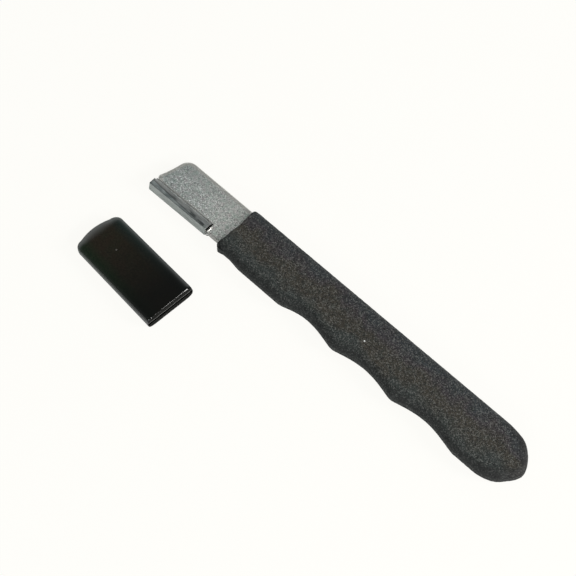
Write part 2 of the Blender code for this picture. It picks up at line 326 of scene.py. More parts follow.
def in_notch_frame(points):
    """Columns x and y of the points in the notch's own frame."""
    x = points[:, 0] - NOTCH_START
    y = points[:, 1] - NOTCH_WALL
    return x * NOTCH_COS + y * NOTCH_SIN, y * NOTCH_COS - x * NOTCH_SIN


def cap_plan():
    """Open outline of the cap, from one side of its mouth round the closed end to the other side."""
    half_width = CAP_WIDTH / 2
    shoulder = CAP_LENGTH - CAP_CROWN
    end_half_width = half_width - CAP_SIDE_TAPER
    corners = [
        (0.0, -half_width), (shoulder, -end_half_width), (shoulder, end_half_width), (0.0, half_width),
    ]
    first = fillet(*corners[:3], CAP_CORNER_RADIUS)
    second = fillet(*corners[1:], CAP_CORNER_RADIUS)
    crown = arc_between(first[-1], second[0], CAP_CROWN, 32)
    return [corners[0]] + first + crown + second[1:] + [corners[3]]


# ---- mesh tools

def resample(line, step):
    """Split the long runs of an open line, so that no two points are further apart than step."""
    points = [line[0]]
    for start, end in zip(line, line[1:]):
        parts = max(1, math.ceil(math.dist(start, end) / step))
        for part in range(1, parts + 1):
            share = part / parts
            x = start[0] + (end[0] - start[0]) * share
            y = start[1] + (end[1] - start[1]) * share
            points.append((x, y))
    return points


def distance_to(points, line):
    """Distance of each point, one a row, to an open line."""
    line = np.array(line, float)
    nearest = np.full(len(points), np.inf)
    for start, end in zip(line[:-1], line[1:]):
        run = end - start
        length = run @ run
        if length == 0:
            continue
        share = np.clip((points - start) @ run / length, 0, 1)
        offset = points - start - share[:, None] * run
        nearest = np.minimum(nearest, np.einsum('ij,ij->i', offset, offset))
    return np.sqrt(nearest)


def is_inside(points, outline):
    """Whether each point, one a row, lies inside a closed outline."""
    inside = np.zeros(len(points), bool)
    corners = np.array(outline, float)
    for (x0, y0), (x1, y1) in zip(corners, np.roll(corners, -1, axis=0)):
        if y0 == y1:
            continue
        spans = (points[:, 1] < y0) != (points[:, 1] < y1)
        crossing = x0 + (points[:, 1] - y0) / (y1 - y0) * (x1 - x0)
        inside ^= spans & (points[:, 0] < crossing)
    return inside


def hex_grid(low, high, spacing):
    """Points of a triangular grid over a box."""
    rows = np.arange(low[1], high[1], spacing * math.sqrt(3) / 2)
    columns = np.arange(low[0], high[0], spacing)
    x, y = np.meshgrid(columns, rows)
    x[1::2] += spacing / 2
    return np.column_stack([x.ravel(), y.ravel()])


def counterclockwise(outline):
    """The outline with its inside on the left."""
    corners = np.array(outline, float)
    following = np.roll(corners, -1, axis=0)
    area = np.sum(corners[:, 0] * following[:, 1] - following[:, 0] * corners[:, 1])
    return list(outline) if area > 0 else list(reversed(outline))


def fill_plan(outline, depths, grids, extra=()):
    """Triangulate the inside of a closed outline, and say which points lie on the outline.

    Inside it lie rings that follow it at each depth, the extra points, and the grids, each of which is
    given as a low corner, a high corner and a spacing.
    """
    outline = counterclockwise(outline)
    edge = np.array(outline, float)
    closed = outline + outline[:1]
    forward = np.roll(edge, -1, axis=0) - np.roll(edge, 1, axis=0)
    inward = np.column_stack([-forward[:, 1], forward[:, 0]])
    inward /= np.linalg.norm(inward, axis=1)[:, None]
    batches = [edge]
    for depth in depths:
        ring = edge + inward * depth
        clear = distance_to(ring, closed) > depth * RING_CLEARANCE
        batches.append(ring[clear & is_inside(ring, outline)])
    deepest = max(depths) if depths else 0.0
    for low, high, spacing in grids:
        grid = hex_grid(low, high, spacing)
        grid = grid[is_inside(grid, outline)]
        batches.append(grid[distance_to(grid, closed) > deepest + spacing * 0.5])
    if len(extra):
        batches.append(np.array(extra, float))
    points = np.vstack(batches)
    count = len(edge)
    border = [(index, (index + 1) % count) for index in range(count)]
    scale = 1 / MM
    vectors = [Vector(point) for point in points * scale]
    corners, _, triangles, origins, _, _ = delaunay_2d_cdt(vectors, border, [], 1, 1e-5)
    filled = np.array([tuple(corner) for corner in corners], float) / scale
    place = {}
    for index, sources in enumerate(origins):
        for source in sources:
            place[source] = index
    loop = [place[index] for index in range(count)]
    return filled, [tuple(triangle) for triangle in triangles], loop


def slab(plan, top, bottom, wall_rows):
    """Closed body over a filled plan, with a height for each plan point above and below."""
    points, triangles, loop = plan
    count = len(points)
    vertices = [(x, y, z) for (x, y), z in zip(points, top)]
    vertices += [(x, y, z) for (x, y), z in zip(points, bottom)]
    faces = list(triangles)
    faces += [tuple(count + index for index in reversed(triangle)) for triangle in triangles]
    rows = [[count + index for index in loop]]
    for row in range(1, wall_rows):
        share = row / wall_rows
        first = len(vertices)
        for index in loop:
            x, y = points[index]
            vertices.append((x, y, bottom[index] + (top[index] - bottom[index]) * share))
        rows.append(list(range(first, len(vertices))))
    rows.append(loop)
    size = len(loop)
    for lower, upper in zip(rows, rows[1:]):
        for index in range(size):
            after = (index + 1) % size
            faces.append((lower[index], lower[after], upper[after], upper[index]))
    return np.array(vertices, float), faces


def over_slab(values, count, on_walls):
    """The plan's values for a slab's vertices above and below, and one value for its walls."""
    return np.concatenate([values, values, np.full(count - 2 * len(values), on_walls)])


def rounded_drop(distance, width, drop, power=2.0):
    """How far a surface has fallen at each distance from its edge, on a quarter of a superellipse."""
    share = np.clip(1 - distance / width, 0, 1)
    return drop * (1 - (1 - share ** power) ** (1 / power))


def round_depths(width, steps):
    """Distances from an edge that follow its rounding evenly."""
    return [width * (1 - math.cos(math.pi / 2 * step / steps)) for step in range(1, steps + 1)]


def make_mesh(name, vertices, faces):
    """Mesh with smooth faces and creases where it turns sharply."""
    mesh = bpy.data.meshes.new(name)
    mesh.from_pydata([tuple(vertex) for vertex in vertices], [], faces)
    mesh.validate()
    mesh.update()
    mesh.shade_smooth()
    mesh.set_sharp_from_angle(angle=CREASE_ANGLE)
    return mesh


def add_attributes(mesh, **fields):
    """Store one number for each vertex under each name."""
    for name, values in fields.items():
        attribute = mesh.attributes.new(name, 'FLOAT', 'POINT')
        attribute.data.foreach_set("value", np.asarray(values, np.float32))


def move_along_normals(mesh, amounts):
    """Shift each vertex along its normal."""
    count = len(mesh.vertices)
    places = np.empty(count * 3, np.float32)
    mesh.vertices.foreach_get("co", places)
    normals = np.empty(count * 3, np.float32)
    mesh.vertex_normals.foreach_get("vector", normals)
    places = places.reshape(-1, 3) + normals.reshape(-1, 3) * np.asarray(amounts)[:, None]
    mesh.vertices.foreach_set("co", places.ravel().astype(np.float32))
    mesh.update()


def grain(points, size, seed):
    """Smooth noise from about -1 to 1 at each point, with features of the given size."""
    shift = Vector((seed * 7.3, seed * 3.1, seed * 5.7))
    return np.array([noise.noise(Vector(point) / size + shift) for point in points])


def add_object(name, data):
    """Object of that name in the scene."""
    thing = bpy.data.objects.new(name, data)
    bpy.context.scene.collection.objects.link(thing)
    return thing


def make_piece(node, mesh, placement, material, body):
    """Put a mesh in its place as a piece that rides a body and is seen instead of one solid."""
    mesh.transform(placement)
    mesh.update()
    mesh.materials.append(material)
    piece = add_object(node + "_look", mesh)
    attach(piece, body)
    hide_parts(node)


def cut_mesh(mesh, cutter_mesh):
    """The mesh less the cutter, as a new mesh."""
    body = add_object("cut_body", mesh)
    cutter = add_object("cutter", cutter_mesh)
    cut = body.modifiers.new("cut", 'BOOLEAN')
    cut.operation = 'DIFFERENCE'
    cut.solver = 'EXACT'
    cut.object = cutter
    graph = bpy.context.evaluated_depsgraph_get()
    result = bpy.data.meshes.new_from_object(body.evaluated_get(graph))
    for thing in (body, cutter):
        bpy.data.objects.remove(thing)
    result.set_sharp_from_angle(angle=CREASE_ANGLE)
    return result


# ---- materials

class Nodes:
    """Short way to write a node tree. A value is a number, a colour, a place or a node's output."""

    def __init__(self, tree):
        self.tree = tree

    def feed(self, sockets, values):
        """Set or link the sockets that the values name."""
        for key, value in values.items():
            socket = sockets[key]
            if isinstance(value, bpy.types.NodeSocket):
                self.tree.links.new(value, socket)
            else:
                socket.default_value = (*value, 1.0) if socket.type == 'RGBA' else value

    def add(self, kind, values=None, **settings):
        node = self.tree.nodes.new(kind)
        for key, value in settings.items():
            setattr(node, key, value)
        self.feed(node.inputs, values or {})
        return node

    def ramp(self, value, low, high, start=0.0, end=1.0, easing='LINEAR'):
        """Value mapped from low..high to start..end, clamped."""
        values = {"Value": value, "From Min": low, "From Max": high, "To Min": start, "To Max": end}
        return self.add('ShaderNodeMapRange', values, interpolation_type=easing).outputs["Result"]

    def math(self, operation, first, second=0.0):
        return self.add('ShaderNodeMath', {0: first, 1: second}, operation=operation).outputs["Value"]

    def against(self, operation, vector, constant):
        """Number from a vector and a constant one, such as their distance or their dot product."""
        values = {0: vector, 1: constant}
        return self.add('ShaderNodeVectorMath', values, operation=operation).outputs["Value"]

    def send_out(self, lighting, seen, kind):
        """Output of a kind that lights other things by one shader and is seen as another."""
        rays = self.add('ShaderNodeLightPath')
        shares = {0: rays.outputs["Is Camera Ray"], 1: lighting.outputs[0], 2: seen.outputs[0]}
        self.add(kind, {"Surface": self.add('ShaderNodeMixShader', shares).outputs[0]})


class Graph(Nodes):
    """Nodes of a piece's material."""

    def __init__(self, name):
        self.material = bpy.data.materials.new(name)
        self.material.use_nodes = True
        super().__init__(self.material.node_tree)
        self.position = self.add('ShaderNodeTexCoord').outputs["Object"]

    def stretched(self, scale):
        """Object position with a scale for each axis."""
        return self.add('ShaderNodeMapping', {"Vector": self.position, "Scale": scale}).outputs["Vector"]

    def noise(self, size, detail=2.0, roughness=0.5, vector=None):
        """Noise from 0 to 1 whose features are about size metres across."""
        values = {"Scale": 1 / size, "Detail": detail, "Roughness": roughness}
        values["Vector"] = vector or self.position
        return self.add('ShaderNodeTexNoise', values).outputs["Fac"]

    def cells(self, size):
        """Random number for each of many grains about size metres across."""
        grains = self.add('ShaderNodeTexVoronoi', {"Scale": 1 / size, "Vector": self.position})
        return self.add('ShaderNodeSeparateColor', {"Color": grains.outputs["Color"]}).outputs["Red"]

    def spot(self, place, radius):
        """1 near a place, fading to 0 at the radius."""
        return self.ramp(self.against('DISTANCE', self.position, place), radius, 0.8 * radius)

    def attribute(self, name):
        return self.add('ShaderNodeAttribute', attribute_name=name).outputs["Fac"]

    def mix(self, share, first, second, blend='MIX'):
        """Mix two colours."""
        values = {"Factor": share, 6: first, 7: second}
        return self.add('ShaderNodeMix', values, data_type='RGBA', blend_type=blend).outputs[2]

    def layers(self, base, *rows):
        """Colours laid one over another, each growing to its share as a value goes from low to high."""
        for value, low, high, share, colour in rows:
            base = self.mix(self.ramp(value, low, high, 0.0, share), base, colour)
        return base

    def bump(self, height, distance, below=None):
        """Bump whose height runs over distance metres, on top of the one below."""
        values = {"Height": height, "Distance": distance, "Strength": 1.0}
        if below is not None:
            values["Normal"] = below
        return self.add('ShaderNodeBump', values).outputs["Normal"]

    def finished(self, values):
        """The material, with values for its shader's own sockets."""
        self.feed(self.tree.nodes["Principled BSDF"].inputs, values)
        return self.material


def steel_material():
    """Shot-blasted steel: coarse grain with painted glints, smoother and warmer on rounded edges;
    painted highlight on the notch edge and side faces.
    """
    graph = Graph("blasted_steel")
    rim = graph.attribute("rim")
    wetted = graph.attribute("wetted")
    facets = graph.cells(0.24 * MM)
    sparks = graph.cells(0.22 * MM)
    pits = graph.noise(0.55 * MM, roughness=0.6)
    clouds = graph.noise(4.5 * MM)
    tint = graph.noise(1.3 * MM)
    grey = graph.layers(
        graph.mix(facets, (0.13, 0.14, 0.136), (0.86, 0.89, 0.87)),
        (pits, 0.35, 0.65, 0.4, (0.42, 0.44, 0.43)),
        (tint, 0.5, 0.7, 0.5, (0.52, 0.46, 0.48)),
        (tint, 0.5, 0.3, 0.5, (0.36, 0.44, 0.40)),
    )
    # painted glints: white grains laid into the colour, thickest where the sparkling attribute is high
    sparkle = graph.math('MULTIPLY', graph.ramp(sparks, 0.88, 0.90), graph.attribute("sparkling"))
    grey = graph.mix(sparkle, grey, (1.0, 1.0, 1.0))
    grey = graph.layers(grey, (clouds, 0.4, 0.7, 0.12, (0.6, 0.6, 0.585)))
    # lighter near the grip, darker toward the tip
    near_grip = graph.ramp(graph.attribute("near_grip"), 0.1, 0.9)
    tone = graph.mix(near_grip, (0.90, 0.915, 0.92), (1.18, 1.15, 1.13))
    grey = graph.mix(1.0, grey, tone, 'MULTIPLY')
    # smoother, warmer steel on the rounded tip and spine; along the notch edge this is a painted
    # highlight, and the side faces are painted lighter with it
    grey = graph.mix(graph.math('MULTIPLY', rim, 0.85), grey, (0.655, 0.63, 0.60))
    # a dark line just inside the finger side
    grey = graph.mix(graph.attribute("burr"), grey, (0.20, 0.17, 0.15))
    silver = graph.layers((0.72, 0.72, 0.70), (pits, 0.45, 0.65, 0.6, (0.42, 0.42, 0.41)))
    rough = graph.ramp(facets, 0.0, 1.0, 0.62, 0.45)
    smooth = graph.math('MULTIPLY', graph.math('MAXIMUM', rim, wetted), -0.16)
    return graph.finished({
        "Base Color": graph.mix(wetted, grey, silver),
        "Metallic": 1.0,
        "Roughness": graph.math('ADD', rough, smooth),
        "Normal": graph.bump(pits, 0.12 * MM, below=graph.bump(facets, 0.03 * MM)),
    })


def carbide_material():
    """Ground carbide: dark, with a ground band that widens toward the tip; its outer side and worn
    inner-end corner painted lighter as highlight.
    """
    graph = Graph("carbide")
    lines = graph.noise(0.5 * MM, detail=3.0, vector=graph.stretched((0.16, 1.0, 1.0)))
    cloud = graph.noise(1.3 * MM, detail=3.0, vector=graph.stretched((0.5, 1.0, 1.0)))
    across = graph.attribute("across")
    along = graph.attribute("along")
    band_edge = graph.attribute("band_edge")
    inner = graph.layers((0.54, 0.54, 0.535), (lines, 0.35, 0.65, 1.0, (0.26, 0.27, 0.265)))
    band = graph.layers(
        (0.30, 0.34, 0.345),
        (cloud, 0.35, 0.65, 1.0, (0.66, 0.70, 0.705)),
        (lines, 0.48, 0.62, 0.5, (0.20, 0.225, 0.23)),
    )
    light = graph.layers((0.37, 0.395, 0.385), (cloud, 0.3, 0.7, 1.0, (0.47, 0.495, 0.48)))
    dark = graph.layers(
        (0.26, 0.27, 0.27),
        (cloud, 0.35, 0.65, 1.0, (0.54, 0.55, 0.55)),
        (lines, 0.46, 0.60, 0.9, (0.10, 0.11, 0.11)),
        (lines, 0.42, 0.34, 0.6, (0.80, 0.82, 0.82)),
        (across, 0.44, 0.34, 1.0, inner),
        (band_edge, 0.0, 0.12, 1.0, band),
        (graph.math('ABSOLUTE', band_edge), 0.22, 0.05, 0.75, (0.17, 0.175, 0.175)),
        (across, 0.90, 0.98, 0.8, (0.20, 0.205, 0.20)),
    )
    # the worn outer corner of the inner end, painted lighter as a highlight
    worn_end_highlight = graph.math('MULTIPLY', graph.ramp(along, 1.3, 0.9), graph.ramp(across, 0.45, 0.6))
    tip_start = (BAR_LENGTH - 0.45 * MM) / MM
    dark = graph.layers(
        graph.mix(worn_end_highlight, dark, light),
        # painted shade over the top edge of the inner end; the last stretch toward the tip is darker
        (along, 0.14, 0.08, 0.8, (0.0, 0.0, 0.0)),
        (along, tip_start, tip_start + 0.2, 0.75, (0.13, 0.14, 0.13)),
    )
    return graph.finished({
        # the outer side face takes the lighter colour, painted light
        "Base Color": graph.mix(graph.attribute("outer"), dark, light),
        "Metallic": 1.0,
        "Roughness": graph.ramp(lines, 0.3, 0.7, 0.36, 0.48),
        "Normal": graph.bump(lines, 0.01 * MM),
    })


def braze_material():
    """Silver solder: bright where clean, dull where flux has burnt on it, stained darker on the bead;
    near-black in the slot and along the wall is painted shade.
    """
    graph = Graph("silver_braze")
    lumps = graph.noise(0.5 * MM, detail=3.0)
    silver = graph.layers((0.62, 0.60, 0.56), (lumps, 0.35, 0.65, 1.0, (0.90, 0.89, 0.86)))
    dull = graph.mix(graph.attribute("flux"), silver, (0.66, 0.665, 0.66))
    return graph.finished({
        "Base Color": graph.mix(graph.attribute("scorched"), dull, (0.02, 0.02, 0.02)),
        "Metallic": 1.0,
        "Roughness": graph.ramp(lumps, 0.3, 0.7, 0.22, 0.45),
        "Normal": graph.bump(lumps, 0.015 * MM),
    })


def dipped_material(fleck_place):
    """Matt vinyl dip: coarse sandy grain, faint drifts of warmer and cooler black, a small pale fleck,
    and painted shade along its long edges and round its butt.
    """
    graph = Graph("dipped_vinyl")
    sand = graph.cells(0.25 * MM)
    fine = graph.noise(0.42 * MM, roughness=0.6)
    drift = graph.noise(7.0 * MM)
    mottle = graph.noise(1.6 * MM)
    wander = graph.math('MULTIPLY', graph.math('SUBTRACT', drift, 0.5), 0.7)
    across = graph.math('ADD', graph.attribute("across"), wander)
    base = graph.layers(
        (0.023, 0.029, 0.034),
        (across, 0.12, 0.28, 1.0, (0.034, 0.027, 0.032)),
        (across, 0.28, 0.42, 1.0, (0.037, 0.031, 0.021)),
        (across, 0.62, 0.82, 1.0, (0.024, 0.031, 0.029)),
        (mottle, 0.5, 0.7, 0.5, (0.024, 0.032, 0.027)),
    )
    base = graph.mix(1.0, base, (0.75, 0.75, 0.74), 'MULTIPLY')
    base = graph.layers(base, (sand, 0.5, 0.0, 0.95, (0.0, 0.0, 0.0)))
    dusty = graph.mix(0.75, base, (0.16, 0.16, 0.15))
    base = graph.layers(base, (sand, 0.66, 1.0, 0.68, dusty))
    patchy = graph.ramp(mottle, 0.35, 0.65, 0.8, 1.1)
    # painted shade along the edges and round the butt, made patchy by the mottle and lighter on the sand
    # grains
    grime = graph.math('MULTIPLY', graph.attribute("grime"), patchy)
    grime = graph.math('MULTIPLY', grime, graph.ramp(sand, 0.4, 0.9, 1.05, 0.7))
    base = graph.mix(grime, base, (0.0, 0.0, 0.0))
    return graph.finished({
        "Base Color": graph.mix(graph.spot(fleck_place, FLECK_RADIUS), base, (0.9, 0.9, 0.88)),
        "Roughness": graph.ramp(fine, 0.3, 0.7, 0.8, 0.6),
        "Specular IOR Level": 0.4,
        "Normal": graph.bump(fine, 0.16 * MM, below=graph.bump(sand, 0.05 * MM)),
    })


def glossy_material(speck_place):
    """Smooth black vinyl with slow waves from the mould, faint drifts of tint and a speck of dust."""
    graph = Graph("glossy_vinyl")
    waves = graph.noise(5.5 * MM, detail=1.0)
    haze = graph.noise(3.0 * MM, detail=4.0, roughness=0.6)
    film = graph.noise(0.5 * MM, roughness=0.6)
    across = graph.attribute("across")
    # greener toward both long edges, and darker toward the mouth
    black = graph.layers(
        (0.0125, 0.0080, 0.0040),
        (haze, 0.35, 0.7, 1.0, (0.0095, 0.0088, 0.0036)),
        (across, 0.72, 0.9, 1.0, (0.0045, 0.0125, 0.0045)),
        (across, 0.3, 0.12, 1.0, (0.0045, 0.0120, 0.0105)),
        (film, 0.5, 0.7, 0.5, (0.020, 0.017, 0.013)),
        (film, 0.5, 0.3, 0.6, (0.003, 0.003, 0.003)),
        (graph.attribute("along"), 0.8, 0.15, 0.9, (0.0005, 0.0006, 0.0004)),
    )
    return graph.finished({
        "Base Color": graph.mix(graph.spot(speck_place, SPECK_RADIUS), black, (0.07, 0.065, 0.06)),
        "Roughness": graph.ramp(haze, 0.3, 0.75, 0.07, 0.15),
        "Normal": graph.bump(waves, 0.05 * MM),
    })


def cut_material():
    """Dull face of vinyl that was cut open: painted black as shade in the cap's slot, with a painted
    highlight line above it.
    """
    graph = Graph("cut_vinyl")
    drag = graph.noise(0.5 * MM, detail=3.0, vector=graph.stretched((1.0, 0.25, 1.0)))
    height = graph.add('ShaderNodeSeparateXYZ', {"Vector": graph.position}).outputs["Z"]
    slot_low = CAP_SLOT_LEVEL - CAP_SLOT_HEIGHT / 2 - CAP_SLOT_FLARE
    slot_high = CAP_SLOT_LEVEL + CAP_SLOT_HEIGHT / 2 + CAP_SLOT_FLARE
    # a thin pale line along the slot's upper edge, a painted highlight
    over = graph.ramp(height, slot_high + 0.04 * MM, slot_high + 0.12 * MM)
    under = graph.ramp(height, slot_high + 0.34 * MM, slot_high + 0.24 * MM)
    slot_edge_highlight = graph.math('MULTIPLY', over, under)
    # painted shade: the visible inside of the slot is black
    over = graph.ramp(height, slot_low, slot_low + 0.1 * MM)
    under = graph.ramp(height, slot_high, slot_high - 0.1 * MM)
    in_slot = graph.math('MULTIPLY', over, under)
    black = graph.layers((0.008, 0.008, 0.0075), (drag, 0.35, 0.65, 1.0, (0.018, 0.018, 0.017)))
    black = graph.mix(in_slot, black, (0.0003, 0.0003, 0.0003))
    return graph.finished({
        "Base Color": graph.mix(slot_edge_highlight, black, (0.11, 0.11, 0.105)),
        "Roughness": 0.5,
        "Specular IOR Level": 0.0,
        "Normal": graph.bump(drag, 0.02 * MM),
    })


# ---- pieces

def tool_placement():
    """Matrix from the tool's frame to the scene's, from the grip's box."""
    low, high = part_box("grip")
    return Matrix.Translation((high.x, low.y + SPINE_COAT, low.z))


def cap_placement():
    """Matrix from the cap's frame to the scene's, from the cap's box."""
    low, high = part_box("cap")
    turn = Matrix.Rotation(CAP_TURN, 4, 'Z')
    corners = [turn @ Vector((x, y, 0.0)) for x, y in cap_plan()]
    middle = Vector((0.0, 0.0, 0.0))
    for axis in (0, 1):
        values = [corner[axis] for corner in corners]
        middle[axis] = (low[axis] + high[axis]) / 2 - (min(values) + max(values)) / 2
    return Matrix.Translation(middle) @ turn


def ramp_points():
    """Points that draw the notch's ramp sharply: its two inner sides, and its upper end."""
    points = []
    for across in (NOTCH_RAMP_SIDE, NOTCH_RAMP_SIDE + RAMP_STEP):
        for step in range(13):
            points.append(notch_point(-NOTCH_RAMP * 1.08 * step / 12 - RAMP_STEP, across))
    for offset in (-0.02 * MM, 0.02 * MM):
        for step in range(1, 12):
            across = NOTCH_RAMP_SIDE + (BLADE_WIDTH - NOTCH_WALL - NOTCH_RAMP_SIDE) * step / 12
            points.append(notch_point(-NOTCH_RAMP + offset, across))
    return points


def build_blade(placement):
    """Steel blank: the blade, rounded over at the tip and spine, and the tang inside the grip."""
    corner = notch_point((BLADE_REACH - NOTCH_START) / NOTCH_COS, 0.0)
    spine_corner = (BLADE_REACH - corner[1] * math.tan(TIP_SLANT), 0.0)
    nose = fillet(notch_point(0.0, 0.0), corner, spine_corner, NOTCH_CORNER_RADIUS)
    rounding = fillet(corner, spine_corner, (0.0, 0.0), TIP_CORNER_RADIUS, 24)
    tip = nose + arc_between(nose[-1], rounding[0], TIP_BULGE, 16) + rounding[1:]
    notch = [notch_point(0.0, BLADE_WIDTH - NOTCH_WALL), notch_point(0.0, 0.0)]
    side = [(0.0, BLADE_WIDTH), notch[0]]
    fine = 0.3 * MM
    coarse = 1.5 * MM
    rim_line = resample(tip + [(0.0, 0.0)], fine)
    notch_line = resample(notch + [nose[0]], fine)
    side_line = resample(side, fine)
    tang = resample(grip_plan(SPINE_COAT, FINGER_COAT, FINGER_COAT), coarse)
    outline = rim_line + tang[1:] + side_line[1:] + notch_line[1:-1]
    grids = [
        ((-0.5 * MM, 0.0), (BLADE_REACH, BLADE_WIDTH), 0.28 * MM),
        ((-GRIP_LENGTH, 0.0), (-coarse, CREST_WIDTH), 1.6 * MM),
    ]
    plan = fill_plan(outline, [0.08 * MM] + round_depths(RIM_WIDTH, 5), grids, ramp_points())
    points = plan[0]

    to_rim = distance_to(points, rim_line)
    to_notch = distance_to(points, notch_line)
    to_side = distance_to(points, side_line)
    along, across = in_notch_frame(points)
    sloping = np.clip(along / NOTCH_RAMP + 1, 0.0, 1.0) * (along < 0.1 * MM)
    ramp = NOTCH_RAMP_DEPTH * sloping * smooth_step((across - NOTCH_RAMP_SIDE) / RAMP_STEP)
    drop = rounded_drop(to_rim, RIM_WIDTH, RIM_DROP)
    drop += rounded_drop(np.minimum(to_notch, to_side), SIDE_BREAK, SIDE_BREAK)
    drop = np.maximum(drop, ramp)
    vertices, faces = slab(plan, PLATE_HIGH - drop, PLATE_LOW + drop, 5)
    mesh = make_mesh("steel_blade", vertices, faces)

    count = len(vertices)
    # 1 on the rounded tip and spine, with its smoother finish; the notch edge gets a painted highlight,
    # and the side faces get 1 as painted light
    rim = smooth_step(RIM_FADE - to_rim / RIM_WIDTH)
    rim = np.maximum(rim, NOTCH_HIGHLIGHT_SHARE * smooth_step(NOTCH_HIGHLIGHT_FADE - to_notch / NOTCH_HIGHLIGHT_WIDTH))
    wetted = smooth_step(ramp / (0.04 * MM)) * smooth_step((WETTED_REACH - across) / (0.2 * MM))
    x, y = points.T
    burr = smooth_step(1 - abs(to_side - EDGE_LINE_INSET) / EDGE_LINE_HALF_WIDTH) * (x > 0)
    # where the painted glints gather: a band along the blade's middle that grows toward the tip
    toward_tip = 0.5 + 0.5 * smooth_step((x - SPARKLE_START) / SPARKLE_START)
    in_middle = smooth_step(1.6 - abs(y - SPARKLE_MIDDLE) / SPARKLE_HALF_WIDTH)
    sparkling = 0.2 + 0.8 * in_middle * toward_tip
    add_attributes(mesh, rim=over_slab(rim, count, 1.0), wetted=over_slab(wetted, count, 0.0),
                   burr=over_slab(burr, count, 0.0), sparkling=over_slab(sparkling, count, 0.0),
                   near_grip=1 - vertices[:, 0] / BLADE_REACH)
    rough = grain(vertices, 0.6 * MM, 1) * BLAST_RELIEF
    rough[vertices[:, 0] < 0] = 0.0
    move_along_normals(mesh, rough)
    make_piece("steel_blade", mesh, placement, steel_material(), "tool")


def rounded_profile(corners, radius, steps=4):
    """Closed profile with every corner rounded."""
    points = []
    count = len(corners)
    for index, corner in enumerate(corners):
        points += fillet(corners[index - 1], corner, corners[(index + 1) % count], radius, steps)
    return points


def loft(sections):
    """Closed body through sections with the same number of points, each a list of places."""
    vertices = [point for section in sections for point in section]
    size = len(sections[0])
    faces = [tuple(reversed(range(size)))]
    for row in range(len(sections) - 1):
        for index in range(size):
            after = (index + 1) % size
            first = row * size
            faces.append((first + index, first + after, first + size + after, first + size + index))
    last = (len(sections) - 1) * size
    faces.append(tuple(range(last, last + size)))
    return np.array(vertices, float), faces


def build_bar(placement):
    """Carbide bar whose outer side leans out toward its lower edge, all edges just broken."""
    corners = [(0.0, BAR_LOW), (BAR_BASE_WIDTH, BAR_LOW), (BAR_TOP_WIDTH, BAR_HIGH), (0.0, BAR_HIGH)]
    middle = (BAR_TOP_WIDTH / 2, MID_HEIGHT)
    broken_end = [(BAR_EDGE_BREAK - depth, depth) for depth in round_depths(BAR_EDGE_BREAK, 3)[:0:-1]]
    broken_end.append((BAR_EDGE_BREAK, 0.0))
    stations = list(broken_end)
    runs = 90
    for run in range(runs + 1):
        stations.append((BAR_EDGE_BREAK + (BAR_LENGTH - 2 * BAR_EDGE_BREAK) * run / runs, 0.0))
    for x, inset in reversed(broken_end):
        stations.append((BAR_LENGTH - x, inset))
    sections = []
    places = []
    for x, inset in stations:
        section = []
        for y, z in rounded_profile(corners, BAR_EDGE_BREAK):
            shrunk_y = y - math.copysign(min(inset, abs(y - middle[0])), y - middle[0])
            shrunk_z = z - math.copysign(min(inset, abs(z - middle[1])), z - middle[1])
            section.append((*notch_point(BAR_END_GAP + x, BAR_SEAM + shrunk_y), shrunk_z))
            places.append((x, y, z))
        sections.append(section)
    mesh = make_mesh("carbide_bar", *loft(sections))
    x, y, z = np.array(places).T
    outer = (y > BAR_TOP_WIDTH - 0.02 * MM) & (z < BAR_HIGH - 0.05 * MM)
    band_edge = (y - GROUND_BAND_START + GROUND_BAND_SLANT * x) / MM
    add_attributes(mesh, outer=outer, across=y / BAR_TOP_WIDTH, along=x / MM, band_edge=band_edge)
    make_piece("carbide_bar", mesh, placement, carbide_material(), "tool")


def solder_lump(place, radii):
    """Uneven rounded lump of solder, placed in the notch's frame."""
    rings = 20
    sides = 32
    sections = []
    for ring in range(1, rings):
        turn = math.pi * ring / rings
        section = []
        for step in range(sides):
            angle = 2 * math.pi * step / sides
            x = place[0] + radii[0] * math.sin(turn) * math.cos(angle)
            y = place[1] + radii[1] * math.sin(turn) * math.sin(angle)
            z = place[2] - radii[2] * math.cos(turn)
            lump = 1 + 0.12 * noise.noise(Vector((x, y, z)) / (0.6 * MM))
            middle = Vector(place)
            x, y, z = middle + (Vector((x, y, z)) - middle) * lump
            section.append((*notch_point(x, y), z))
        sections.append(section)
    return loft(sections)


